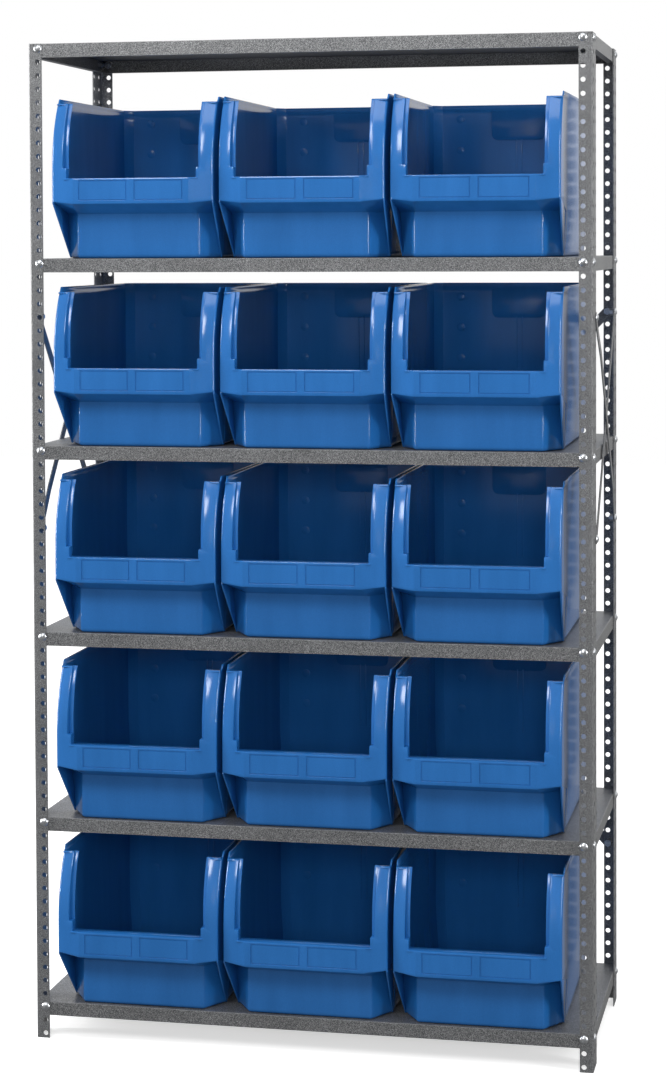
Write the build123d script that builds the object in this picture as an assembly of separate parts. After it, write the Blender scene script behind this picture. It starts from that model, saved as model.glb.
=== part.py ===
from build123d import *
import os
from math import atan2, degrees, hypot, sqrt

# Bolt-together steel shelving, 42 x 18 x 75 inch class, with fifteen open-front storage bins.
# Millimetres, +Z up. The origin is on the floor, in the middle of the overall width and depth.
# Front is -Y, left is -X.

# ---- overall frame -------------------------------------------------------------------------
INCH = 25.4
frame_width = 42 * INCH
frame_depth = 18 * INCH
post_height = 74.75 * INCH

# ---- punched angle posts -------------------------------------------------------------------
post_steel = 2.0
front_flange = 25.4
side_flange = 57.15
post_bend_radius = 3.5
hole_radius = 4.75
hole_pitch = INCH
first_hole_drop = 0.375 * INCH
corner_row = 17.5
brace_row = 50.0
holes_per_row = 75

# ---- shelves -------------------------------------------------------------------------------
shelf_steel = 1.0
shelf_lip = 26.0
shelf_return = 14.0
shelf_top_above_bolt = 9.525
shelf_corner_radius = 3.0
shelf_bend_radius = 1.5
shelf_holes_from_top = (72, 58, 44, 30, 16, 0)

# ---- bolts and nuts (5/16 inch) --------------------------------------------------------------
bolt_radius = 3.95
bolt_length = 12.7
head_radius = 7.9
head_height = 4.0
slot_width = 1.6
slot_depth = 1.5
nut_across_flats = 12.7
nut_height = 6.7
nut_corner_break = 1.0
bolt_end_break = 0.8
slot_turn = 35
thread_gap = 0.05

# ---- sway braces -----------------------------------------------------------------------------
brace_width = 19.0
brace_steel = 2.0
brace_gap = 0.3
brace_end = 9.5
brace_flat_end = 45.0
brace_ramp = 60.0
brace_upper_hole = 20
side_brace_lower_hole = 36
back_brace_lower_hole = 62

# ---- bins ------------------------------------------------------------------------------------
bin_width = 314.3
bin_length = 495.3
bin_height = 301.6
bin_wall = 3.0
bin_pitch = 323.0
bin_columns = ("left", "centre", "right")
bin_shelves = 5
bin_clearance = 0.3
bin_front_overhang = 42.4

band_bottom = 102.0
band_top = 150.0
band_flat_half = 112.0
band_end_setback = 11.0
band_end_rise = 5.0
panel_half = 118.0
panel_setback = 50.0
corner_half = 151.0
corner_setback = 102.0
base_back_inset = 8.0
hopper_floor = 84.0
lean_start = 165.0
lean_radius = 228.0
flange_inner = 133.5
lip_low_depth = 22.0
lip_high_depth = 11.0
lip_drop = 8.0
notch_half = 126.0
notch_top = 169.0
flange_top = 292.0
lean_steps = 6
tub_top_flare = 4.0
base_corner_inset = 2.0
opening_reach = 60.0
cut_margin = 5.0

# how far a wall's inner corner moves sideways or back, as a share of the wall
tub_corner_mitre = 0.45
band_corner_mitre = 0.1
band_end_mitre = 0.8
back_corner_mitre = 0.59

back_chamfer = 18.0
back_rib_places = (12.0, 23.0)
back_rib_width = 2.5
back_rib_proud = 2.5
back_rib_low = 106.0
back_rib_length = 128.6
back_pad_centre = 16.0
back_pad_width = 108.0
back_pad_height = 62.0
back_pad_proud = 2.0
back_pad_drop = 8.0
back_pad_corner = 14.0
root_depth = 0.5

# ---- derived places --------------------------------------------------------------------------
rear_overhang = brace_steel + head_height
mid_y = (bin_front_overhang - rear_overhang) / 2
half_width = frame_width / 2
half_depth = frame_depth / 2
front_y = mid_y - half_depth
rear_y = mid_y + half_depth


def hole_z(index):
    """Height of a post hole, counted down from the top hole."""
    return post_height - first_hole_drop - hole_pitch * index


def write(shape, name):
    export_step(shape, f"parts/{name}.step")


def group(solids):
    return Compound(children=[s for piece in solids for s in piece.solids()])


# ---- posts -----------------------------------------------------------------------------------
def punched_strip(width, rows):
    """A flat strip standing on XZ, x from 0 to width, with a column of holes at each row."""
    with BuildPart() as strip:
        with BuildSketch(Plane.XZ):
            with Locations((width / 2, post_height / 2)):
                Rectangle(width, post_height)
            for row in rows:
                spots = [(row, hole_z(i)) for i in range(holes_per_row)]
                with Locations(spots):
                    Circle(hole_radius, mode=Mode.SUBTRACT)
        extrude(amount=-post_steel)
    return strip.part


def corner_post():
    """Front left post: outer corner at (0, 0), front flange along +X, side flange along +Y."""
    inner_radius = post_bend_radius - post_steel
    front = punched_strip(front_flange, (corner_row,))
    side = punched_strip(side_flange, (corner_row, brace_row)).mirror(Plane.YZ).rotate(Axis.Z, -90)
    angle = front + side
    outer_edge = [e for e in angle.edges().filter_by(Axis.Z) if e.length > post_height - 1
                  and hypot(e.center().X, e.center().Y) < 0.1]
    angle = fillet(outer_edge, post_bend_radius)
    inner_edge = [e for e in angle.edges().filter_by(Axis.Z) if e.length > post_height - 1
                  and abs(e.center().X - post_steel) < 0.1 and abs(e.center().Y - post_steel) < 0.1]
    return fillet(inner_edge, inner_radius)


def build_posts():
    left_front = corner_post().moved(Location((-half_width, -half_depth, 0)))
    right_front = left_front.mirror(Plane.YZ)
    placed = {
        "post_front_left": left_front,
        "post_front_right": right_front,
        "post_rear_left": left_front.mirror(Plane.XZ),
        "post_rear_right": right_front.mirror(Plane.XZ),
    }
    for name, post in placed.items():
        write(post.moved(Location((0, mid_y, 0))), name)


# ---- shelves ---------------------------------------------------------------------------------
def shelf_tray():
    """Box-formed shelf, top face at z = 0, centred on the post footprint."""
    outer_x = frame_width - 2 * post_steel
    outer_y = frame_depth - 2 * post_steel
    tray = Box(outer_x, outer_y, shelf_lip, align=(Align.CENTER, Align.CENTER, Align.MAX))
    tray = fillet(tray.edges().filter_by(Axis.Z), shelf_corner_radius)
    tray = fillet(tray.faces().sort_by(Axis.Z)[-1].edges(), shelf_bend_radius)
    room = Box(outer_x - 2 * shelf_steel, outer_y - 2 * shelf_steel, shelf_lip - 2 * shelf_steel,
               align=(Align.CENTER, Align.CENTER, Align.MAX))
    room = fillet(room.edges().filter_by(Axis.Z), shelf_corner_radius - shelf_steel)
    mouth = Box(outer_x - 2 * shelf_return, outer_y - 2 * shelf_return, shelf_lip,
                align=(Align.CENTER, Align.CENTER, Align.MAX))
    tray -= room.moved(Location((0, 0, -shelf_steel)))
    tray -= mouth.moved(Location((0, 0, -shelf_steel)))
    bolt_z = -shelf_top_above_bolt
    for x in (-(half_width - corner_row), half_width - corner_row):
        tray -= Cylinder(hole_radius, frame_depth, rotation=(90, 0, 0)).moved(Location((x, 0, bolt_z)))
    for y in (-(half_depth - corner_row), half_depth - corner_row):
        tray -= Cylinder(hole_radius, frame_width, rotation=(0, 90, 0)).moved(Location((0, y, bolt_z)))
    return tray


def shelf_top(level):
    return hole_z(shelf_holes_from_top[level - 1]) + shelf_top_above_bolt


def build_shelves():
    tray = shelf_tray()
    for level in range(1, len(shelf_holes_from_top) + 1):
        write(tray.moved(Location((0, mid_y, shelf_top(level)))), f"shelf_{level}")


# ---- fasteners -------------------------------------------------------------------------------
def bolt():
    """Round-head bolt along -Z: the underside of its head is at z = 0."""
    dome_radius = (head_radius ** 2 + head_height ** 2) / (2 * head_height)
    dome = Sphere(dome_radius).moved(Location((0, 0, head_height - dome_radius)))
    head = dome & Cylinder(head_radius, head_height, align=(Align.CENTER, Align.CENTER, Align.MIN))
    slot = Box(4 * head_radius, slot_width, slot_depth, align=(Align.CENTER, Align.CENTER, Align.MAX))
    head -= slot.moved(Location((0, 0, head_height), (0, 0, slot_turn)))
    shank = Cylinder(bolt_radius, bolt_length, align=(Align.CENTER, Align.CENTER, Align.MAX))
    return head + chamfer(shank.faces().sort_by(Axis.Z)[0].edges(), bolt_end_break)


def nut():
    """Hexagon nut on the Z axis, its bearing face at z = 0 and its body below."""
    hexagon = extrude(RegularPolygon(nut_across_flats / 2, 6, major_radius=False), -nut_height)
    corner_radius = nut_across_flats / sqrt(3)
    turned = Cylinder(corner_radius + thread_gap, nut_height, align=(Align.CENTER, Align.CENTER, Align.MAX))
    turned = chamfer(turned.faces().sort_by(Axis.Z)[0].edges(), nut_corner_break)
    return (hexagon & turned) - Cylinder(bolt_radius + thread_gap, 4 * nut_height)


def facing(point, direction):
    """Location at a point whose local Z looks along a direction."""
    return Plane(origin=point, z_dir=direction).location


def fastener_pairs(spots, grip):
    """Bolts at (point, outward direction) spots and their nuts, behind a stack of steel."""
    bolts = []
    nuts = []
    for point, outward in spots:
        spot = Vector(*point)
        inside = spot - Vector(*outward) * grip
        bolts.append(bolt().moved(facing(spot, outward)))
        nuts.append(nut().moved(facing(inside, outward)))
    return bolts, nuts


def shelf_fastener_spots(level):
    z = hole_z(shelf_holes_from_top[level - 1])
    spots = []
    for side in (-1, 1):
        for end, face_y in ((-1, front_y), (1, rear_y)):
            along_x = side * (half_width - corner_row)
            along_y = mid_y + end * (half_depth - corner_row)
            spots.append(((along_x, face_y, z), (0, end, 0)))
            spots.append(((side * half_width, along_y, z), (side, 0, 0)))
    return spots


def build_shelf_fasteners():
    for level in range(1, len(shelf_holes_from_top) + 1):
        bolts, nuts = fastener_pairs(shelf_fastener_spots(level), post_steel + shelf_steel)
        write(group(bolts), f"shelf_{level}_bolts")
        write(group(nuts), f"shelf_{level}_nuts")


# ---- sway braces -----------------------------------------------------------------------------
def brace_strip(hole_distance, bowed):
    """Flat strip along X with its inner face on z = 0; a bowed strip steps over its partner."""
    half = hole_distance / 2 + brace_end
    rise = (brace_steel + brace_gap) if bowed else 0
    inner = [(-half, 0), (half, 0)]
    outer = [(half, brace_steel), (-half, brace_steel)]
    if bowed:
        foot = half - brace_flat_end
        crest = foot - brace_ramp
        inner = [(-half, 0), (-foot, 0), (-crest, rise), (crest, rise), (foot, 0), (half, 0)]
        outer = [(x, z + brace_steel) for x, z in reversed(inner)]
    side_view = make_face(Polyline(*inner, *outer, close=True))
    strip = extrude(Plane.XZ * side_view, brace_width / 2, both=True)
    rounder = Box(2 * half, brace_width, 20)
    rounder = fillet(rounder.edges().filter_by(Axis.Z), brace_width / 2 - 0.1)
    strip &= rounder
    for x in (-hole_distance / 2, hole_distance / 2):
        strip -= Cylinder(hole_radius, 20).moved(Location((x, 0, 0)))
    return strip


def crossed_pair(centre, along, outward, span, rise):
    """Two strips crossing in a plane: 'along' is the level direction, 'outward' the plane's normal."""
    length = hypot(span, rise)
    tilt = degrees(atan2(rise, span))
    plane = Plane(origin=centre, x_dir=along, z_dir=outward)
    flat = brace_strip(length, False).moved(Location((0, 0, 0), (0, 0, tilt)))
    bowed = brace_strip(length, True).moved(Location((0, 0, 0), (0, 0, -tilt)))
    return flat.moved(plane.location), bowed.moved(plane.location)


def brace_set(name, centre, along, outward, span, lower_hole):
    upper_z = hole_z(brace_upper_hole)
    lower_z = hole_z(lower_hole)
    middle = Vector(*centre) + Vector(0, 0, (upper_z + lower_z) / 2)
    flat, bowed = crossed_pair(middle, along, outward, span, upper_z - lower_z)
    write(flat, f"{name}_a")
    write(bowed, f"{name}_b")
    spots = []
    for end in (-span / 2, span / 2):
        for z in (upper_z, lower_z):
            point = Vector(*centre) + Vector(*along) * end + Vector(0, 0, z) + Vector(*outward) * brace_steel
            spots.append(((point.X, point.Y, point.Z), outward))
    bolts, nuts = fastener_pairs(spots, post_steel + brace_steel)
    write(group(bolts), f"{name}_bolts")
    write(group(nuts), f"{name}_nuts")


def build_braces():
    side_span = frame_depth - 2 * brace_row
    back_span = frame_width - 2 * corner_row
    brace_set("side_brace_left", (-half_width, mid_y, 0), (0, 1, 0), (-1, 0, 0),
              side_span, side_brace_lower_hole)
    brace_set("side_brace_right", (half_width, mid_y, 0), (0, 1, 0), (1, 0, 0),
              side_span, side_brace_lower_hole)
    brace_set("back_brace", (0, rear_y, 0), (1, 0, 0), (0, 1, 0),
              back_span, back_brace_lower_hole)


# ---- bins ------------------------------------------------------------------------------------
# A bin's own frame: x across, y back from the front of its band, z up from its underside.
def lean(z):
    """How far the front of the frame has leaned back at a height."""
    if z <= lean_start:
        return 0.0
    return lean_radius - sqrt(lean_radius ** 2 - (z - lean_start) ** 2)


def level_face(front_half, front, side_half, side_front, back_half, back, chamfer, z):
    """Eight-sided plan outline at a height."""
    right = [(front_half, front), (side_half, side_front), (back_half, back - chamfer),
             (back_half - chamfer, back)]
    left = [(-x, y) for x, y in reversed(right)]
    return make_face(Polyline(*[(x, y, z) for x, y in right + left], close=True))


def tub_face(z, inset):
    """Outline of the lower tub, which widens a little upwards."""
    share = z / band_bottom
    half = corner_half + tub_top_flare * share - inset
    back = bin_length - base_back_inset * (1 - share) - inset
    front_shift = tub_corner_mitre * inset
    return level_face(panel_half - front_shift, panel_setback + inset, half,
                      corner_setback + front_shift, half - base_corner_inset * (1 - share), back,
                      back_chamfer - back_corner_mitre * inset, z)


def frame_face(z, inset, lift=0.0):
    """Outline of the upper body: the band, the leaning front and the upright walls."""
    shift = lean(z)
    half = bin_width / 2 - inset
    end = band_end_setback + band_end_mitre * inset + shift
    return level_face(band_flat_half - band_corner_mitre * inset, shift + inset, half, end, half,
                      bin_length - inset, back_chamfer - back_corner_mitre * inset, z + lift)


def stack(faces):
    """Ruled solid through a list of outlines."""
    body = None
    for lower, upper in zip(faces, faces[1:]):
        step = Solid.make_loft([lower.wire(), upper.wire()], ruled=True)
        body = step if body is None else body + step
    return body


def bin_body():
    """Thin-walled tub, hopper and upright walls, open at the top."""
    lean_rise = (bin_height - lean_start) / lean_steps
    lean_levels = [lean_start + lean_rise * i for i in range(lean_steps + 1)]
    outer = stack([tub_face(0, 0), tub_face(hopper_floor, 0), frame_face(band_bottom, 0)]
                  + [frame_face(z, 0) for z in lean_levels])
    over_top = frame_face(bin_height, bin_wall, 5.0)
    inner = stack([tub_face(bin_wall, bin_wall), tub_face(hopper_floor + bin_wall, bin_wall),
                   frame_face(band_bottom, bin_wall, bin_wall)]
                  + [frame_face(z, bin_wall) for z in lean_levels] + [over_top])
    return outer - inner


def band_setback(x):
    """How far the band's face has drawn back at an x beyond its flat middle."""
    share = (abs(x) - band_flat_half) / (bin_width / 2 - band_flat_half)
    return max(0.0, share) * band_end_setback


def lip_setback(z):
    """Front face of the inner lip, which leans less than the flange in front of it."""
    share = max(0.0, z - lean_start) / (flange_top - lean_start)
    return lean(z) + lip_low_depth + (lip_high_depth - lip_low_depth) * share


def side_view(near, far, low, high):
    """Face between two setbacks, each a function of height, from one height to another."""
    knee = max(low, lean_start)
    heights = [low] if low < lean_start else []
    heights += [knee + (high - knee) * i / lean_steps for i in range(lean_steps + 1)]
    front = [(near(z), z) for z in heights]
    back = [(far(z), z) for z in reversed(heights)]
    with BuildSketch(Plane.YZ) as view:
        with BuildLine():
            Polyline(*front, *back, close=True)
        make_face()
    return view.sketch


def across(profile, x_low, x_high):
    """Side view profile extruded between two x values."""
    return extrude(profile, x_high - x_low, dir=(1, 0, 0)).moved(Location((x_low, 0, 0)))


def mirrored(side, low, high):
    """An x range on the right, or its mirror image on the left."""
    return (low, high) if side > 0 else (-high, -low)


def front_opening():
    """What is cut away from the front wall, above the band and between the frame's flanges."""
    sill = Box(2 * notch_half, opening_reach, notch_top - band_top,
               align=(Align.CENTER, Align.MIN, Align.MIN))
    sill = sill.moved(Location((0, -cut_margin, band_top)))
    window = across(side_view(lambda z: lean(z) - cut_margin, lambda z: lean(z) + 3 * cut_margin,
                              notch_top, bin_height + cut_margin), -flange_inner, flange_inner)
    top = Box(bin_width - 2 * bin_wall, lip_low_depth, 2 * lip_low_depth,
              align=(Align.CENTER, Align.MIN, Align.MIN))
    top = top.moved(Location((0, lean(flange_top) - bin_wall, flange_top)))
    return sill + window + top


def flange_lip(side):
    """Inner edge of one flange: its return wall, the notch's return and ledge, the lip and the cap."""
    reach = band_setback(flange_inner)
    outside = bin_width / 2 - bin_wall / 2

    def face(z):
        return lean(z) + reach

    def lip_back(z):
        return lip_setback(z) + bin_wall

    deep = side_view(face, lip_back, notch_top - bin_wall, flange_top)
    piece = across(deep, *mirrored(side, flange_inner, flange_inner + bin_wall))
    low = side_view(face, lip_back, band_top - bin_wall, notch_top)
    piece += across(low, *mirrored(side, notch_half, notch_half + bin_wall))
    ledge = side_view(face, lip_back, notch_top - bin_wall, notch_top)
    piece += across(ledge, *mirrored(side, notch_half, flange_inner + bin_wall))
    lip = side_view(lip_setback, lip_back, band_top - lip_drop, flange_top)
    piece += across(lip, *mirrored(side, notch_half, flange_inner + bin_wall))
    cap = side_view(face, lip_back, flange_top - bin_wall, flange_top)
    return piece + across(cap, *mirrored(side, flange_inner, outside))


def side_fin(side):
    """Three-cornered web under the end of the band, in front of the tub's slanted corner."""
    fin_top = band_bottom + band_end_rise
    fin_back = corner_setback + 4
    corners = [(band_end_setback, fin_top), (fin_back, fin_top), (fin_back, 0), (corner_setback, 0),
               (band_end_setback, band_bottom)]
    with BuildSketch(Plane.YZ) as view:
        with BuildLine():
            Polyline(*corners, close=True)
        make_face()
    x_low = side * bin_width / 2 if side < 0 else bin_width / 2 - bin_wall
    plate = across(view.sketch, x_low, x_low + bin_wall)
    tilt = degrees(atan2(bin_width / 2 - corner_half - 0.5, band_bottom))
    hinge = Axis((side * bin_width / 2, 0, fin_top), (0, 1, 0))
    return plate.rotate(hinge, side * tilt)


def band_sill():
    """Sill behind the band's top edge and the apron that hangs from its back."""
    width = 2 * (notch_half + bin_wall)
    depth = lip_low_depth + bin_wall
    corner = (Align.CENTER, Align.MIN, Align.MAX)
    sill = Box(width, depth, bin_wall, align=corner).moved(Location((0, 0, band_top)))
    apron = Box(width, bin_wall, lip_drop, align=corner)
    return sill + apron.moved(Location((0, lip_low_depth, band_top)))


def back_details():
    """Two ribs and the thickened pad inside the back wall."""
    root = bin_length - bin_wall + root_depth
    pieces = None
    for x in back_rib_places:
        rib = Box(back_rib_width, back_rib_proud + root_depth, back_rib_length,
                  align=(Align.CENTER, Align.MAX, Align.MIN))
        rib = rib.moved(Location((x, root, back_rib_low)))
        pieces = rib if pieces is None else pieces + rib
    pad = Box(back_pad_width, back_pad_proud + root_depth, back_pad_height,
              align=(Align.CENTER, Align.MAX, Align.MAX))
    pad = fillet(pad.edges().filter_by(Axis.Y).sort_by(Axis.Z)[:2], back_pad_corner)
    return pieces + pad.moved(Location((back_pad_centre, root, bin_height - back_pad_drop)))


def storage_bin():
    body = bin_body() - front_opening()
    for side in (-1, 1):
        body += flange_lip(side)
        body += side_fin(side)
    body += band_sill()
    body += back_details()
    return body


def build_bins():
    bin_shape = storage_bin()
    for level in range(1, bin_shelves + 1):
        for column, name in enumerate(bin_columns):
            place = Location(((column - 1) * bin_pitch, front_y - bin_front_overhang,
                              shelf_top(level) + bin_clearance))
            write(bin_shape.moved(place), f"bin_level{level}_{name}")


os.makedirs("parts", exist_ok=True)
build_posts()
build_shelves()
build_shelf_fasteners()
build_braces()
build_bins()
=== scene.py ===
from math import atan2, cos, pi, radians, sin, sqrt, tan

import bmesh
import bpy
from mathutils import Matrix, Vector


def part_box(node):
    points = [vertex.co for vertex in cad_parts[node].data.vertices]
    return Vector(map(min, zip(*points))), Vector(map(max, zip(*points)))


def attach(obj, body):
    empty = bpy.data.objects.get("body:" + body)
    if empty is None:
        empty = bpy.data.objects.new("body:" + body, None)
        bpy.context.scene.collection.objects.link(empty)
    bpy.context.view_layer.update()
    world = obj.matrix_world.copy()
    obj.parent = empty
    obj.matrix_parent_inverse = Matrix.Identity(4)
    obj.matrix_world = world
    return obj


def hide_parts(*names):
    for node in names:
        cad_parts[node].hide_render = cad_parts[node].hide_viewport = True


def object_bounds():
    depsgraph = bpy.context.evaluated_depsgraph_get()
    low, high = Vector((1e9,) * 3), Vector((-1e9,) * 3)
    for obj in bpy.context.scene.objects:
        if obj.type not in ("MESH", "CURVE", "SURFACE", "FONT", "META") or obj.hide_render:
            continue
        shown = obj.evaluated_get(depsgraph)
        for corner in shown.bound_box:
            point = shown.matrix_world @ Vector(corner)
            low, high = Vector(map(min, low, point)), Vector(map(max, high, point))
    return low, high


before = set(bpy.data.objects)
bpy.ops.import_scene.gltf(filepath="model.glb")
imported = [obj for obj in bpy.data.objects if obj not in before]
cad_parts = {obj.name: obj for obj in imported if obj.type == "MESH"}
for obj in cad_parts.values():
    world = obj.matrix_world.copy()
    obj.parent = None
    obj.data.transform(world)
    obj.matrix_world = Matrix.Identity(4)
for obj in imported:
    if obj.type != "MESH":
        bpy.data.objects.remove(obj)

# Lengths are millimetres where a name or comment says so, and metres everywhere else.
MM = 0.001
MERGE = 0.00001                      # metres: points closer than this are one point
WHITE = (1.0, 1.0, 1.0, 1.0)
cad_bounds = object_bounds()
scene = bpy.context.scene

BIN_NODES = sorted(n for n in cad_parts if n.startswith("bin_level"))
POST_NODES = sorted(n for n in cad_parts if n.startswith("post_"))
SHELF_NODES = sorted(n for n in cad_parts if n.startswith("shelf_") and n[-1].isdigit())
BRACE_NODES = sorted(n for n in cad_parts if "brace" in n and n[-2:] in ("_a", "_b"))
BOLT_NODES = sorted(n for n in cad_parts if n.endswith("_bolts"))
NUT_NODES = sorted(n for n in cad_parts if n.endswith("_nuts"))


# ---- small mesh tools --------------------------------------------------------------------------
def link(name, mesh):
    piece = bpy.data.objects.new(name, mesh)
    scene.collection.objects.link(piece)
    return piece


def mesh_piece(name, points, faces):
    """An object from points in millimetres."""
    mesh = bpy.data.meshes.new(name)
    mesh.from_pydata([Vector(p) * MM for p in points], [], faces)
    mesh.validate()
    return link(name, mesh)


def clean(piece):
    """Merges double points and turns every face outwards."""
    bm = bmesh.new()
    bm.from_mesh(piece.data)
    bmesh.ops.remove_doubles(bm, verts=bm.verts, dist=MERGE)
    bmesh.ops.recalc_face_normals(bm, faces=bm.faces)
    bm.to_mesh(piece.data)
    bm.free()


def apply_modifiers(piece):
    depsgraph = bpy.context.evaluated_depsgraph_get()
    depsgraph.update()
    made = bpy.data.meshes.new_from_object(piece.evaluated_get(depsgraph))
    piece.modifiers.clear()
    piece.data = made


def add_bevel(piece, width):
    """Rounds the sharp edges by a width in millimetres, when the modifiers are applied."""
    bevel = piece.modifiers.new("edges", "BEVEL")
    bevel.width = width * MM
    bevel.segments = 2
    bevel.limit_method = "ANGLE"
    bevel.angle_limit = radians(40)
    bevel.use_clamp_overlap = False
    bevel.miter_outer = "MITER_ARC"


def smooth(piece, angle=32):
    piece.data.shade_smooth()
    piece.data.set_sharp_from_angle(angle=radians(angle))


def loft(name, near, far, bevel):
    """A solid between two matching outlines in millimetres, with its edges rounded."""
    n = len(near)
    faces = [list(range(n)), list(range(2 * n - 1, n - 1, -1))]
    faces += [[i, n + i, n + (i + 1) % n, (i + 1) % n] for i in range(n)]
    piece = mesh_piece(name, near + far, faces)
    clean(piece)
    add_bevel(piece, bevel)
    apply_modifiers(piece)
    return piece


def joined(name, pieces):
    """One mesh from several, in place."""
    bm = bmesh.new()
    for piece in pieces:
        bm.from_mesh(piece.data)
        bpy.data.objects.remove(piece)
    mesh = bpy.data.meshes.new(name)
    bm.to_mesh(mesh)
    bm.free()
    return link(name, mesh)


# ---- bin (millimetres, in its own frame: x across, y back from its front, z up from its base) ------
BIN_WIDTH = 314.3
BIN_LENGTH = 495.3
BIN_HEIGHT = 301.6
WALL = 3.0
BASE_ROUND = 8.0
PANEL_HALF = 118.0
PANEL_SETBACK = 50.0
CORNER_HALF = 151.0
CORNER_SETBACK = 102.0
HOPPER_FLOOR = 84.0
BAND_BOTTOM = 102.0
BAND_RISE = 5.0
BAND_TOP = 150.0
BAND_HALF = 112.0
BAND_END = 11.0
LEAN_START = 165.0
LEAN_RADIUS = 228.0
NOTCH_HALF = 126.0
NOTCH_TOP = 169.0
FLANGE_INNER = 133.5
FLANGE_TOP = 292.0
LIP_LOW = 22.0
LIP_HIGH = 11.0
APRON = 8.0
BACK_CHAMFER = 18.0
BACK_INSET = 8.0
CARD_IN = 7.0
CARD_OUT = 101.0
CARD_LOW = 108.0
CARD_HIGH = 146.0
CARD_MIDDLE = 54.0
RIM_LINE = 290.0
RIM_STEP = 0.7
BACK_ROUND = 4.0
TUB_ROUNDS = (5.0, 4.0)              # at the panel's edge, at the side's front edge
FRAME_ROUNDS = (4.0, 6.0)
TUB_MITRE = 0.45                     # how an inset moves the ends of a slanting corner face
TUB_BACK_TAPER = 2.0
TUB_HEIGHTS = (30.0, 55.0, HOPPER_FLOOR)
NOTCH_HEIGHTS = (158.0, NOTCH_TOP)
FLANGE_HEIGHTS = (178.0, 190.0, 203.0, 216.0, 230.0, 244.0, 258.0, 271.0, 282.0, RIM_LINE)
RIM_HEIGHTS = (297.0, BIN_HEIGHT)
SHELL_BEVEL = 1.3
CARD_GROOVE = ((0.4, -1.4), (1.3, 0.0), (0.4, 0.9))     # (inset, depth) steps: down, across, up
PAD = (-38.0, 70.0, 231.0, 289.0)    # x from and to, z from and to
PAD_CORNER = 14.0
PAD_RISE = 1.8
RIBS = (12.0, 23.0)
RIB_FOOT = 106.0
RIB_TOP = 234.0
RIB_HALF = 1.1
RIB_RISE = 2.2
EJECTOR_X = -101.0
EJECTOR_HEIGHTS = (150.0, 212.0, 274.0)
EJECTOR_RADIUS = 8.0
EJECTOR_RISE = 1.1
SUNK = 1.0                           # how far a detail's root goes into the wall behind it


def lean(z):
    """How far the front has leaned back at a height."""
    if z <= LEAN_START:
        return 0.0
    return LEAN_RADIUS - sqrt(LEAN_RADIUS ** 2 - (z - LEAN_START) ** 2)


def band_share(x):
    """0 on the band's flat middle, 1 at the bin's full width."""
    return max(0.0, (abs(x) - BAND_HALF) / (BIN_WIDTH / 2 - BAND_HALF))


def arc_corner(a, b, c, radius, steps):
    """Points of a rounded corner at b, from the side of a to the side of c."""
    ab = (Vector(a) - Vector(b)).normalized()
    cb = (Vector(c) - Vector(b)).normalized()
    half = ab.angle(cb) / 2
    centre = Vector(b) + (ab + cb).normalized() * (radius / sin(half))
    start = Vector(b) + ab * (radius / tan(half)) - centre
    end = Vector(b) + cb * (radius / tan(half)) - centre
    turn = start.angle(end)
    points = []
    for i in range(steps + 1):
        t = i / steps
        points.append(centre + (start * sin((1 - t) * turn) + end * sin(t * turn)) / sin(turn))
    return [(p.x, p.y) for p in points]


def between(a, b, t):
    return (a[0] + (b[0] - a[0]) * t, a[1] + (b[1] - a[1]) * t)


FRONT_STEPS = 4
SIDE_STEPS = 6
BACK_STEPS = 3


def half_ring(front, corner, back_half, back, chamfer, front_round, corner_round):
    """Right half of a plan outline, from the middle of the front to the middle of the back."""
    start = (0.0, front[1])
    low = (back_half, back - chamfer)
    high = (back_half - chamfer, back)
    end = (0.0, back)
    points = [start, (CARD_IN, front[1]), (CARD_MIDDLE, front[1]), (CARD_OUT, front[1])]
    points += arc_corner(start, front, corner, front_round, FRONT_STEPS)
    reach = BIN_WIDTH / 2 - BAND_HALF
    points.append(between(front, corner, (NOTCH_HALF - BAND_HALF) / reach))
    points.append(between(front, corner, (FLANGE_INNER - BAND_HALF) / reach))
    points += arc_corner(front, corner, low, corner_round, SIDE_STEPS)
    points += [between(corner, low, t) for t in (0.25, 0.5, 0.75)]
    points += arc_corner(corner, low, high, BACK_ROUND, BACK_STEPS)
    points += arc_corner(low, high, end, BACK_ROUND, BACK_STEPS)
    points += [between(high, end, 0.35), between(high, end, 0.7), end]
    return points


NOTCH_COLUMN = 4 + FRONT_STEPS + 1
FLANGE_COLUMN = NOTCH_COLUMN + 1
WALL_COLUMN = FLANGE_COLUMN + 1 + SIDE_STEPS


def tub_ring(z, inset=0.0):
    """Outline of the tapering tub below the band."""
    share = z / (BAND_BOTTOM + BAND_RISE)
    half = CORNER_HALF + (BIN_WIDTH / 2 - CORNER_HALF) * share - inset
    back_half = half - TUB_BACK_TAPER * (1 - share)
    back = BIN_LENGTH - BACK_INSET * (1 - share) - inset
    front = (PANEL_HALF - TUB_MITRE * inset, PANEL_SETBACK + inset)
    corner = (half, CORNER_SETBACK + TUB_MITRE * inset)
    return half_ring(front, corner, back_half, back, BACK_CHAMFER, *TUB_ROUNDS)


def frame_ring(z, grow=0.0):
    """Outline from the band upwards, where the front leans back."""
    shift = lean(z)
    half = BIN_WIDTH / 2 - RIM_STEP + grow
    back = BIN_LENGTH - RIM_STEP + grow
    return half_ring((BAND_HALF, shift), (half, BAND_END + shift), half, back, BACK_CHAMFER, *FRAME_ROUNDS)


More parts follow.
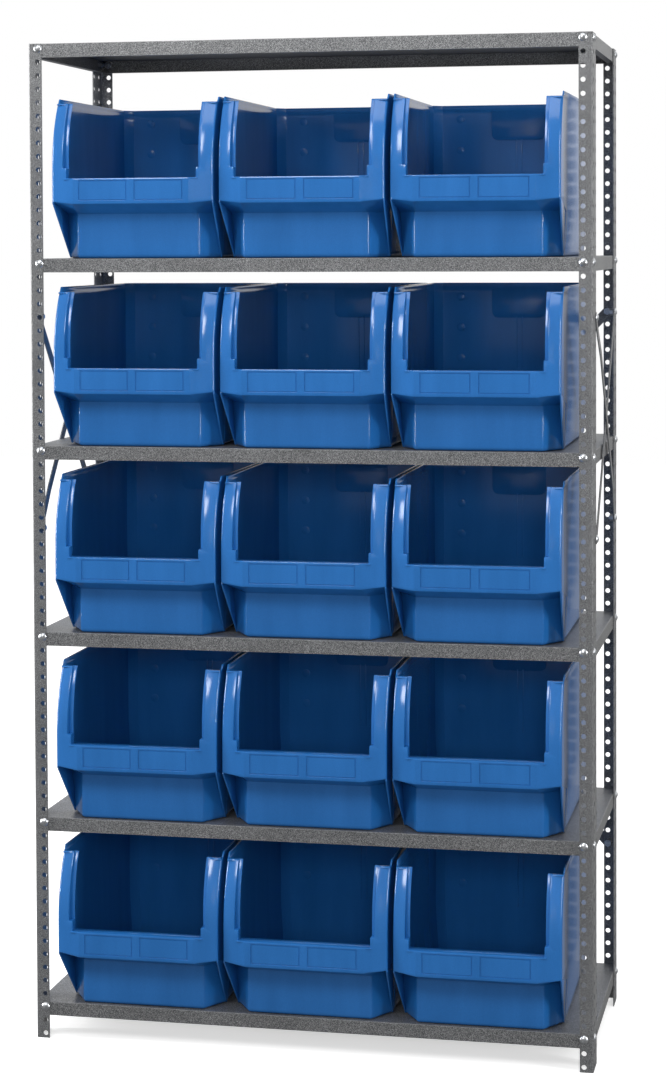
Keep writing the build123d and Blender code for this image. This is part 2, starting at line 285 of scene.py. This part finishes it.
def shell_rows():
    """Rows of (height, height rise at the ends, right half outline, first column that exists)."""
    rows = []
    for i in range(5):
        turn = pi / 2 * i / 4
        z = BASE_ROUND * (1 - cos(turn))
        rows.append((z, 0.0, tub_ring(z, BASE_ROUND * (1 - sin(turn))), 0))
    for z in TUB_HEIGHTS:
        rows.append((z, 0.0, tub_ring(z), 0))
    rows.append((BAND_BOTTOM, BAND_RISE, frame_ring(BAND_BOTTOM), 0))
    rows.append((CARD_LOW, 0.4 * BAND_RISE, frame_ring(CARD_LOW), 0))
    for z in (CARD_HIGH, BAND_TOP):
        rows.append((z, 0.0, frame_ring(z), 0))
    for z in NOTCH_HEIGHTS:
        rows.append((z, 0.0, frame_ring(z), NOTCH_COLUMN))
    for z in FLANGE_HEIGHTS:
        rows.append((z, 0.0, frame_ring(z), FLANGE_COLUMN))
    rows.append((FLANGE_TOP, 0.0, frame_ring(FLANGE_TOP, RIM_STEP), FLANGE_COLUMN))
    for z in RIM_HEIGHTS:
        rows.append((z, 0.0, frame_ring(z, RIM_STEP), WALL_COLUMN))
    return rows


def bin_shell():
    """The moulding's outer skin, open at the front and the top, thickened inwards to the wall."""
    rows = shell_rows()
    half_count = len(rows[0][2])
    columns = 2 * (half_count - 1)
    points = []
    for z, rise, outline, _ in rows:
        left = [(-x, y) for x, y in reversed(outline[1:-1])]
        points += [(x, y, z + rise * min(1.0, band_share(x))) for x, y in outline + left]
    faces = [list(range(columns - 1, -1, -1))]
    for r in range(len(rows) - 1):
        # the upper row of the two says where the faces between them start, which leaves the mouth open
        first = rows[r + 1][3]
        for c in range(columns):
            following = (c + 1) % columns
            reach = min(min(c, columns - c), min(following, columns - following))
            if reach >= first:
                low = r * columns
                high = low + columns
                faces.append([low + c, low + following, high + following, high + c])
    shell = mesh_piece("bin_shell", points, faces)
    bm = bmesh.new()
    bm.from_mesh(shell.data)
    loose = [v for v in bm.verts if not v.link_faces]
    bmesh.ops.delete(bm, geom=loose, context="VERTS")
    bm.to_mesh(shell.data)
    bm.free()
    solid = shell.modifiers.new("wall", "SOLIDIFY")
    solid.thickness = WALL * MM
    solid.offset = -1
    solid.use_even_offset = True
    solid.use_quality_normals = True
    add_bevel(shell, SHELL_BEVEL)
    apply_modifiers(shell)
    return shell


def groove_cards(shell):
    """Cuts a fine groove round each of the two card panels on the band's face."""
    bm = bmesh.new()
    bm.from_mesh(shell.data)
    for side in (-1, 1):
        panel = []
        for f in bm.faces:
            c = f.calc_center_median() / MM
            inside = CARD_IN < side * c.x < CARD_OUT and CARD_LOW < c.z < CARD_HIGH
            if inside and f.normal.y < -0.9 and abs(c.y) < 0.5:
                panel.append(f)
        for width, depth in CARD_GROOVE:
            bmesh.ops.inset_region(bm, faces=panel, thickness=width * MM, depth=depth * MM,
                                   use_even_offset=True)
    bm.to_mesh(shell.data)
    bm.free()


def prism(name, view, x_low, x_high, bevel=0.7):
    """A side view of (y, z) points, extruded along x."""
    return loft(name, [(x_low, y, z) for y, z in view], [(x_high, y, z) for y, z in view], bevel)


def lip_face(z):
    share = max(0.0, z - LEAN_START) / (FLANGE_TOP - LEAN_START)
    return lean(z) + LIP_LOW + (LIP_HIGH - LIP_LOW) * share


def leaning_view(near, far, low, high, steps=9):
    knee = max(low, LEAN_START)
    heights = [low] if low < LEAN_START else []
    heights += [knee + (high - knee) * i / steps for i in range(steps + 1)]
    return [(near(z), z) for z in heights] + [(far(z), z) for z in reversed(heights)]


def mirrored(side, low, high):
    return (low, high) if side > 0 else (-high, -low)


def flange_parts(side):
    """Return wall, notch web, ledge, lip and cap of one flange."""
    reach = BAND_END * band_share(FLANGE_INNER)

    def face(z):
        return lean(z) + reach + 1.0

    def lip_back(z):
        return lip_face(z) + WALL

    outside = BIN_WIDTH / 2 - WALL / 2
    deep = leaning_view(face, lip_back, NOTCH_TOP - WALL, FLANGE_TOP - 0.2)
    low = leaning_view(face, lip_back, BAND_TOP - WALL, NOTCH_TOP)
    ledge = leaning_view(face, lip_back, NOTCH_TOP - WALL, NOTCH_TOP - 0.1)
    lip = leaning_view(lip_face, lip_back, BAND_TOP - APRON, FLANGE_TOP)
    cap = leaning_view(face, lip_back, FLANGE_TOP - WALL, FLANGE_TOP - 0.1)
    return [
        prism("return", deep, *mirrored(side, FLANGE_INNER, FLANGE_INNER + WALL)),
        prism("notch", low, *mirrored(side, NOTCH_HALF, NOTCH_HALF + WALL)),
        prism("ledge", ledge, *mirrored(side, NOTCH_HALF + 0.1, FLANGE_INNER + WALL)),
        prism("lip", lip, *mirrored(side, NOTCH_HALF - 0.1, FLANGE_INNER + WALL)),
        prism("cap", cap, *mirrored(side, FLANGE_INNER, outside)),
    ]


def side_fin(side):
    """Three-cornered web under the end of the band, in line with the side wall."""
    top = BAND_BOTTOM + BAND_RISE + 1.0
    back = CORNER_SETBACK + 6.0
    view = [(BAND_END + 3.0, top), (back, top), (back, 1.0), (CORNER_SETBACK - 1.0, 1.0),
            (BAND_END + 1.0, BAND_BOTTOM + 2.0)]
    outside = BIN_WIDTH / 2 - RIM_STEP
    fin = prism("fin", view, *mirrored(side, outside - WALL, outside), bevel=1.2)
    tilt = side * atan2(BIN_WIDTH / 2 - CORNER_HALF - 0.5, BAND_BOTTOM)
    pivot = Vector((side * outside, 0, top)) * MM
    turn = Matrix.Translation(pivot) @ Matrix.Rotation(tilt, 4, "Y") @ Matrix.Translation(-pivot)
    fin.data.transform(turn)
    return fin


def sill_parts():
    width = NOTCH_HALF + WALL
    depth = LIP_LOW + WALL
    sill = [(1.0, BAND_TOP - WALL), (depth, BAND_TOP - WALL), (depth, BAND_TOP - 0.1), (1.0, BAND_TOP - 0.1)]
    apron = [(LIP_LOW, BAND_TOP - APRON), (depth, BAND_TOP - APRON), (depth, BAND_TOP - 0.3),
             (LIP_LOW, BAND_TOP - 0.3)]
    return [prism("sill", sill, -width, width), prism("apron", apron, -width, width)]


def rounded_slab(name, x_low, x_high, z_low, z_high, corner, y_low, y_high):
    """A flat slab on the back wall, with its two lower corners rounded."""
    outline = [(x_low, z_high)]
    for centre_x, start in ((x_low + corner, pi), (x_high - corner, 1.5 * pi)):
        for i in range(6):
            turn = start + pi / 2 * i / 5
            outline.append((centre_x + corner * cos(turn), z_low + corner + corner * sin(turn)))
    outline.append((x_high, z_high))
    return loft(name, [(x, y_low, z) for x, z in outline], [(x, y_high, z) for x, z in outline], 0.6)


def disc(name, x, z, radius, y_low, y_high, steps=28):
    turns = [2 * pi * i / steps for i in range(steps)]
    near, far = ([(x + radius * cos(t), y, z + radius * sin(t)) for t in turns] for y in (y_low, y_high))
    return loft(name, near, far, 0.5)


def back_parts():
    """Pad, ribs and ejector marks inside the back wall."""
    wall_face = BIN_LENGTH - RIM_STEP - WALL
    root = wall_face + SUNK
    parts = [rounded_slab("pad", *PAD, PAD_CORNER, wall_face - PAD_RISE, root)]
    for x in RIBS:
        rib = [(wall_face - RIB_RISE, RIB_FOOT), (root, RIB_FOOT), (root, RIB_TOP),
               (wall_face - RIB_RISE, RIB_TOP)]
        parts.append(prism("rib", rib, x - RIB_HALF, x + RIB_HALF, bevel=0.5))
    for z in EJECTOR_HEIGHTS:
        parts.append(disc("ejector", EJECTOR_X, z, EJECTOR_RADIUS, wall_face - EJECTOR_RISE, root))
    return parts


def bin_master():
    shell = bin_shell()
    groove_cards(shell)
    parts = [shell, *sill_parts(), *back_parts()]
    for side in (-1, 1):
        parts += flange_parts(side)
        parts.append(side_fin(side))
    return joined("bin_master", parts)


# ---- posts (millimetres, outer corner at the origin, front flange on +x, side flange on +y) --------
POST_STEEL = 2.0
POST_BEND = 3.5
FRONT_FLANGE = 25.4
SIDE_FLANGE = 57.15
HOLE_PITCH = 25.4
HOLE_RADIUS = 4.75
FIRST_HOLE = 9.525
CORNER_ROW = 17.5
BRACE_ROW = 50.0
EDGE_STEPS = 5                       # a hole has four times as many sides
BEND_STEPS = 4


def hole_cell(low_s, high_s, low_z, high_z, hole_s, hole_z):
    """Points and faces of one rectangle with a twenty-sided hole, in (s, z)."""
    n = EDGE_STEPS
    corners = [(low_s, low_z), (high_s, low_z), (high_s, high_z), (low_s, high_z)]
    rim = []
    for k in range(4):
        a, b = corners[k], corners[(k + 1) % 4]
        rim += [between(a, b, i / n) for i in range(n)]
    points = list(rim)
    count = len(rim)
    for i in range(count):
        turn = -0.75 * pi + 2 * pi * i / count
        points.append((hole_s + HOLE_RADIUS * cos(turn), hole_z + HOLE_RADIUS * sin(turn)))
    faces = [[i, (i + 1) % count, count + (i + 1) % count, count + i] for i in range(count)]
    return points, faces


def post_master(height):
    """Punched angle: a row of holes on the front flange, two rows on the side flange, a bent corner."""
    points = []
    faces = []

    def add(cell, place):
        base = len(points)
        points.extend(place(s, z) for s, z in cell[0])
        faces.extend([base + i for i in f] for f in cell[1])

    def on_front(s, z):
        return (s, 0.0, z)

    def on_side(s, z):
        return (0.0, s, z)

    strips = ((POST_BEND, FRONT_FLANGE, CORNER_ROW, on_front),
              (POST_BEND, (CORNER_ROW + BRACE_ROW) / 2, CORNER_ROW, on_side),
              ((CORNER_ROW + BRACE_ROW) / 2, SIDE_FLANGE, BRACE_ROW, on_side))
    holes = round((height - 2 * FIRST_HOLE) / HOLE_PITCH) + 1
    for i in range(holes):
        centre = height - FIRST_HOLE - HOLE_PITCH * i
        top = height if i == 0 else centre + HOLE_PITCH / 2
        bottom = 0.0 if i == holes - 1 else centre - HOLE_PITCH / 2
        for low, high, row, place in strips:
            add(hole_cell(low, high, bottom, top, row, centre), place)
        for k in range(BEND_STEPS):
            for j in range(EDGE_STEPS):
                corners = []
                for step, level in ((k, j), (k + 1, j), (k + 1, j + 1), (k, j + 1)):
                    turn = pi / 2 * step / BEND_STEPS
                    z = bottom + (top - bottom) * level / EDGE_STEPS
                    corners.append((POST_BEND * (1 - sin(turn)), POST_BEND * (1 - cos(turn)), z))
                base = len(points)
                points.extend(corners)
                faces.append([base, base + 1, base + 2, base + 3])
    post = mesh_piece("post_master", points, faces)
    clean(post)
    if post.data.polygons[0].normal.y > 0:
        post.data.flip_normals()
    solid = post.modifiers.new("steel", "SOLIDIFY")
    solid.thickness = POST_STEEL * MM
    solid.offset = -1
    solid.use_even_offset = True
    apply_modifiers(post)
    smooth(post, 40)
    return post


# ---- bolts (millimetres, head outwards along +z, underside of the head at z = 0) ----------------
BOLT_RADIUS = 3.95
BOLT_LENGTH = 12.7
HEAD_RADIUS = 7.9
HEAD_HEIGHT = 4.0
SLOT_WIDTH = 1.6
SLOT_DEPTH = 1.5
SLOT_TURN = 35.0
TIP_CHAMFER = 0.8
DOME_STEPS = 8


def turned(name, profile, steps=32):
    """A solid of revolution about Z from (radius, z) points that start and end on the axis."""
    points = [(0.0, 0.0, profile[0][1])]
    for radius, z in profile[1:-1]:
        for i in range(steps):
            turn = 2 * pi * i / steps
            points.append((radius * cos(turn), radius * sin(turn), z))
    points.append((0.0, 0.0, profile[-1][1]))
    rings = len(profile) - 2
    last = len(points) - 1
    faces = [[0, 1 + (i + 1) % steps, 1 + i] for i in range(steps)]
    for r in range(rings - 1):
        for i in range(steps):
            a = 1 + r * steps + i
            b = 1 + r * steps + (i + 1) % steps
            faces.append([a, b, b + steps, a + steps])
    top = 1 + (rings - 1) * steps
    faces += [[top + i, top + (i + 1) % steps, last] for i in range(steps)]
    piece = mesh_piece(name, points, faces)
    clean(piece)
    return piece


def bolt_master():
    """Slotted dome-headed bolt."""
    dome = (HEAD_RADIUS ** 2 + HEAD_HEIGHT ** 2) / (2 * HEAD_HEIGHT)
    sweep = atan2(HEAD_RADIUS, dome - HEAD_HEIGHT)
    turns = [sweep * i / DOME_STEPS for i in range(DOME_STEPS + 1)]
    profile = [(dome * sin(turn), HEAD_HEIGHT - dome * (1 - cos(turn))) for turn in turns]
    profile += [(BOLT_RADIUS, 0.0), (BOLT_RADIUS, TIP_CHAMFER - BOLT_LENGTH),
                (BOLT_RADIUS - TIP_CHAMFER, -BOLT_LENGTH), (0.0, -BOLT_LENGTH)]
    bolt = turned("bolt", profile)
    cutter = bmesh.new()
    bmesh.ops.create_cube(cutter, size=1.0)
    mesh = bpy.data.meshes.new("slot")
    cutter.to_mesh(mesh)
    cutter.free()
    mesh.transform(Matrix.Rotation(radians(SLOT_TURN), 4, "Z")
                   @ Matrix.Diagonal((3 * HEAD_RADIUS * MM, SLOT_WIDTH * MM, 2 * SLOT_DEPTH * MM, 1.0)))
    mesh.transform(Matrix.Translation((0, 0, HEAD_HEIGHT * MM)))
    slot = link("slot", mesh)
    cut = bolt.modifiers.new("slot", "BOOLEAN")
    cut.object = slot
    cut.operation = "DIFFERENCE"
    apply_modifiers(bolt)
    bpy.data.objects.remove(slot)
    smooth(bolt, 30)
    return bolt


def islands(mesh):
    """Bounding boxes of a mesh's separate parts."""
    bm = bmesh.new()
    bm.from_mesh(mesh)
    bmesh.ops.remove_doubles(bm, verts=bm.verts, dist=MERGE)
    left = set(bm.verts)
    boxes = []
    while left:
        queue = [min(left, key=lambda v: v.index)]
        left.discard(queue[0])
        part = []
        while queue:
            v = queue.pop()
            part.append(v.co.copy())
            for e in v.link_edges:
                other = e.other_vert(v)
                if other in left:
                    left.discard(other)
                    queue.append(other)
        boxes.append((Vector([min(p[k] for p in part) for k in range(3)]),
                      Vector([max(p[k] for p in part) for k in range(3)])))
    bm.free()
    return boxes


# ---- materials -----------------------------------------------------------------------------------
def new_material(name):
    material = bpy.data.materials.new(name)
    material.use_nodes = True
    nodes = material.node_tree.nodes
    return material, nodes, material.node_tree.links, nodes["Principled BSDF"]


def add_node(nodes, kind, **inputs):
    node = nodes.new(kind)
    for key, value in inputs.items():
        node.inputs[key.replace("_", " ")].default_value = value
    return node


def noise(nodes, links, source, scale, detail=2.0, rough=0.5):
    node = add_node(nodes, "ShaderNodeTexNoise", Scale=scale, Detail=detail, Roughness=rough)
    links.new(source, node.inputs["Vector"])
    return node.outputs["Fac"]


def ramp(nodes, links, source, stops):
    node = nodes.new("ShaderNodeValToRGB")
    elements = node.color_ramp.elements
    while len(elements) < len(stops):
        elements.new(0.5)
    for element, (place, colour) in zip(elements, stops):
        element.position = place
        element.color = (*colour, 1.0)
    links.new(source, node.inputs["Fac"])
    return node.outputs["Color"]


def multiplied(nodes, links, a, b):
    node = nodes.new("ShaderNodeMix")
    node.data_type = "RGBA"
    node.blend_type = "MULTIPLY"
    node.inputs["Factor"].default_value = 1.0
    links.new(a, node.inputs[6])       # the colour sockets A, B and Result share their names with others
    links.new(b, node.inputs[7])
    return node.outputs[2]


def slope(nodes, links, source, start, end, low, high):
    node = nodes.new("ShaderNodeMapRange")
    for name, value in (("From Min", start), ("From Max", end), ("To Min", low), ("To Max", high)):
        node.inputs[name].default_value = value
    links.new(source, node.inputs["Value"])
    return node.outputs["Result"]


def ranged(nodes, links, source, low, high):
    return slope(nodes, links, source, 0.0, 1.0, low, high)


def bump(nodes, links, height, strength, distance, chained=None):
    node = nodes.new("ShaderNodeBump")
    node.inputs["Strength"].default_value = strength
    node.inputs["Distance"].default_value = distance
    links.new(height, node.inputs["Height"])
    if chained is not None:
        links.new(chained, node.inputs["Normal"])
    return node.outputs["Normal"]


def hammertone():
    """Grey hammered enamel: fine light and dark flecks over a pebbled surface."""
    material, nodes, links, shader = new_material("grey_hammertone")
    place = nodes.new("ShaderNodeTexCoord").outputs["Object"]
    fleck = noise(nodes, links, place, 880.0, 3.0, 0.6)
    patch = noise(nodes, links, place, 9.0, 2.0, 0.5)
    flecks = ramp(nodes, links, fleck, [(0.36, (0.035, 0.037, 0.040)), (0.50, (0.140, 0.144, 0.150)),
                                        (0.63, (0.400, 0.405, 0.412))])
    cloud = ramp(nodes, links, patch, [(0.3, (0.84, 0.84, 0.84)), (0.7, (1.0, 1.0, 1.0))])
    links.new(multiplied(nodes, links, flecks, cloud), shader.inputs["Base Color"])
    links.new(ranged(nodes, links, fleck, 0.30, 0.52), shader.inputs["Roughness"])
    shader.inputs["Metallic"].default_value = 0.25
    shader.inputs["Specular IOR Level"].default_value = 0.6
    pebble = bump(nodes, links, noise(nodes, links, place, 260.0, 2.0, 0.5), 0.35, 0.0006)
    links.new(pebble, shader.inputs["Normal"])
    return material


def zinc():
    """Bright zinc plate with faint clouding and a fine grain."""
    material, nodes, links, shader = new_material("zinc_plate")
    place = nodes.new("ShaderNodeTexCoord").outputs["Object"]
    cloud = noise(nodes, links, place, 160.0, 3.0, 0.6)
    colour = ramp(nodes, links, cloud, [(0.3, (0.52, 0.54, 0.57)), (0.7, (0.80, 0.82, 0.84))])
    links.new(colour, shader.inputs["Base Color"])
    shader.inputs["Metallic"].default_value = 1.0
    links.new(ranged(nodes, links, cloud, 0.22, 0.42), shader.inputs["Roughness"])
    grain = bump(nodes, links, noise(nodes, links, place, 900.0, 2.0, 0.5), 0.12, 0.0002)
    links.new(grain, shader.inputs["Normal"])
    return material


def blue_plastic():
    """Glossy moulded polypropylene: slight flow clouding, waviness and fine grain."""
    material, nodes, links, shader = new_material("blue_polypropylene")
    place = nodes.new("ShaderNodeTexCoord").outputs["Object"]
    stretched = nodes.new("ShaderNodeMapping")
    stretched.inputs["Scale"].default_value = (1.0, 1.0, 0.18)
    links.new(place, stretched.inputs["Vector"])
    flow = noise(nodes, links, stretched.outputs["Vector"], 26.0, 3.0, 0.55)
    grain = noise(nodes, links, place, 520.0, 2.0, 0.5)
    tone = ramp(nodes, links, flow, [(0.30, (0.015, 0.130, 0.400)), (0.70, (0.020, 0.152, 0.460))])
    speck = ramp(nodes, links, grain, [(0.35, (0.93, 0.93, 0.93)), (0.65, (1.0, 1.0, 1.0))])
    links.new(multiplied(nodes, links, tone, speck), shader.inputs["Base Color"])
    links.new(ranged(nodes, links, flow, 0.11, 0.19), shader.inputs["Roughness"])
    shader.inputs["IOR"].default_value = 1.5
    shader.inputs["Specular IOR Level"].default_value = 0.55
    wave = bump(nodes, links, noise(nodes, links, stretched.outputs["Vector"], 34.0, 2.0, 0.5), 0.10, 0.0012)
    fine = bump(nodes, links, grain, 0.10, 0.0003, chained=wave)
    links.new(fine, shader.inputs["Normal"])
    return material


def pale_floor():
    """Nearly white, with a little light of its own so that it meets the white background."""
    material, nodes, links, shader = new_material("pale_floor")
    place = nodes.new("ShaderNodeTexCoord").outputs["Object"]
    cloud = noise(nodes, links, place, 3.0, 2.0, 0.5)
    colour = ramp(nodes, links, cloud, [(0.3, (0.86, 0.86, 0.86)), (0.7, (0.90, 0.90, 0.90))])
    links.new(colour, shader.inputs["Base Color"])
    shader.inputs["Roughness"].default_value = 0.6
    shader.inputs["Emission Color"].default_value = WHITE
    shader.inputs["Emission Strength"].default_value = 0.55
    return material


def wear(piece, material):
    piece.data.materials.clear()
    piece.data.materials.append(material)


steel_paint = hammertone()
zinc_plate = zinc()
bin_plastic = blue_plastic()


# ---- putting the pieces in place -------------------------------------------------------------------
def build_bins():
    master = bin_master()
    smooth(master)
    wear(master, bin_plastic)
    for node in BIN_NODES:
        low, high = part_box(node)
        corner = Vector(((low.x + high.x) / 2, low.y, low.z))
        mesh = master.data.copy()
        mesh.transform(Matrix.Translation(corner))
        piece = link(node.replace("bin_", "storage_bin_"), mesh)
        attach(piece, node)
        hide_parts(node)
    bpy.data.objects.remove(master)


def build_posts():
    low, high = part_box(POST_NODES[0])
    master = post_master((high.z - low.z) / MM)
    wear(master, steel_paint)
    for node in POST_NODES:
        low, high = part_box(node)
        mesh = master.data.copy()
        flip_x = -1 if "right" in node else 1
        flip_y = -1 if "rear" in node else 1
        x = high.x if flip_x < 0 else low.x
        y = high.y if flip_y < 0 else low.y
        mesh.transform(Matrix.Translation((x, y, low.z)) @ Matrix.Diagonal((flip_x, flip_y, 1, 1)))
        if flip_x * flip_y < 0:
            mesh.flip_normals()
        piece = link(node.replace("post_", "punched_post_"), mesh)
        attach(piece, "frame")
        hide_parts(node)
    bpy.data.objects.remove(master)


def build_bolts():
    master = bolt_master()
    wear(master, zinc_plate)
    middle = (cad_bounds[0] + cad_bounds[1]) / 2
    for node in BOLT_NODES:
        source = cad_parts[node]
        copies = []
        for low, high in islands(source.data):
            low, high = (source.matrix_world @ low, source.matrix_world @ high)
            size = high - low
            axis = 0 if size.x > size.y else 1
            centre = (low + high) / 2
            outward = Vector((0, 0, 0))
            outward[axis] = 1 if centre[axis] > middle[axis] else -1
            seat = centre.copy()
            seat[axis] = (high if outward[axis] > 0 else low)[axis] - outward[axis] * HEAD_HEIGHT * MM
            mesh = master.data.copy()
            mesh.transform(Matrix.Translation(seat) @ outward.to_track_quat("Z", "Y").to_matrix().to_4x4())
            copies.append(link("bolt_copy", mesh))
        piece = joined(node.replace("_bolts", "_slotted_bolts"), copies)
        wear(piece, zinc_plate)
        smooth(piece, 30)
        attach(piece, "frame")
        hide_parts(node)
    bpy.data.objects.remove(master)


def dress_cad_nodes():
    for node in SHELF_NODES + BRACE_NODES:
        wear(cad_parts[node], steel_paint)
    for node in NUT_NODES:
        wear(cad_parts[node], zinc_plate)


# ---- camera, lights and stage ----------------------------------------------------------------------
CAMERA_PLACE = (0.98744, -4.64269, 1.52005)
CAMERA_PAN = 0.2076                  # radians, like the next two
CAMERA_PITCH = -0.0345
CAMERA_ROLL = 0.0046
CAMERA_LENS = 80.86
CAMERA_SHIFT = -0.20
FLOOR_HALF = 12000.0                 # millimetres


def add_camera():
    """Telephoto view from the front right, 1.5 m up, fitted to the photo's hole positions."""
    turn = (Matrix.Rotation(CAMERA_PAN, 4, "Z") @ Matrix.Rotation(CAMERA_PITCH, 4, "X")
            @ Matrix.Rotation(CAMERA_ROLL, 4, "Y"))
    right = turn.col[0].to_3d()
    back = -turn.col[1].to_3d()
    up = turn.col[2].to_3d()
    facing = Matrix((right, up, back)).transposed().to_4x4()
    data = bpy.data.cameras.new("camera")
    data.sensor_fit = "VERTICAL"
    data.sensor_height = 36.0
    data.lens = CAMERA_LENS
    data.shift_y = CAMERA_SHIFT
    camera = bpy.data.objects.new("camera", data)
    scene.collection.objects.link(camera)
    camera.matrix_world = Matrix.Translation(CAMERA_PLACE) @ facing
    scene.camera = camera


def add_area(name, place, aim, size, power):
    data = bpy.data.lights.new(name, "AREA")
    data.shape = "RECTANGLE"
    data.size, data.size_y = size
    data.energy = power
    lamp = bpy.data.objects.new(name, data)
    lamp.visible_camera = False
    scene.collection.objects.link(lamp)
    direction = Vector(aim) - Vector(place)
    lamp.matrix_world = (Matrix.Translation(place)
                         @ direction.to_track_quat("-Z", "Y").to_matrix().to_4x4())
    return lamp


def add_lights():
    add_area("key", (-1.0, -3.3, 3.3), (0.0, 0.0, 1.25), (1.1, 1.1), 50.0)
    add_area("top", (0.1, -1.2, 3.4), (0.0, -0.1, 1.2), (2.4, 0.9), 18.0)
    add_area("right_strip", (4.2, -1.5, 1.9), (0.0, 0.0, 1.15), (0.35, 2.6), 85.0)
    add_area("left_strip", (-4.2, -0.7, 1.6), (0.0, 0.0, 1.15), (0.35, 2.6), 150.0)
    fill = add_area("front_fill", (0.9, -4.9, 1.8), (0.0, 0.0, 1.0), (1.2, 1.0), 52.0)
    fill.visible_glossy = False


def add_world():
    """White to camera rays. As light: stronger towards the top and the back, dim in front and below."""
    world = bpy.data.worlds.new("studio")
    world.use_nodes = True
    nodes = world.node_tree.nodes
    links = world.node_tree.links
    direction = nodes.new("ShaderNodeSeparateXYZ")
    links.new(nodes.new("ShaderNodeTexCoord").outputs["Generated"], direction.inputs["Vector"])
    height = slope(nodes, links, direction.outputs["Z"], -0.35, 0.6, 0.20, 0.50)
    behind = slope(nodes, links, direction.outputs["Y"], 0.15, 0.5, 0.0, 0.55)
    raised = slope(nodes, links, direction.outputs["Z"], -0.06, 0.06, 0.1, 1.0)
    backdrop = nodes.new("ShaderNodeMath")
    backdrop.operation = "MULTIPLY"
    links.new(behind, backdrop.inputs[0])
    links.new(raised, backdrop.inputs[1])
    total = nodes.new("ShaderNodeMath")
    links.new(height, total.inputs[0])
    links.new(backdrop.outputs["Value"], total.inputs[1])
    background = nodes["Background"]
    background.inputs["Color"].default_value = WHITE
    links.new(total.outputs["Value"], background.inputs["Strength"])
    seen = nodes.new("ShaderNodeBackground")
    seen.inputs["Color"].default_value = WHITE
    seen.inputs["Strength"].default_value = 1.0
    path = nodes.new("ShaderNodeLightPath")
    blend = nodes.new("ShaderNodeMixShader")
    links.new(path.outputs["Is Camera Ray"], blend.inputs["Fac"])
    links.new(background.outputs["Background"], blend.inputs[1])
    links.new(seen.outputs["Background"], blend.inputs[2])
    links.new(blend.outputs["Shader"], nodes["World Output"].inputs["Surface"])
    scene.world = world


def add_floor():
    half = FLOOR_HALF
    floor = mesh_piece("floor", [(-half, -half, 0), (half, -half, 0), (half, half, 0), (-half, half, 0)],
                       [[0, 1, 2, 3]])
    wear(floor, pale_floor())
    floor.visible_diffuse = False
    floor.visible_glossy = False


scene.view_settings.view_transform = "Standard"
add_camera()
add_world()
add_lights()
add_floor()
build_bins()
build_posts()
build_bolts()
dress_cad_nodes()
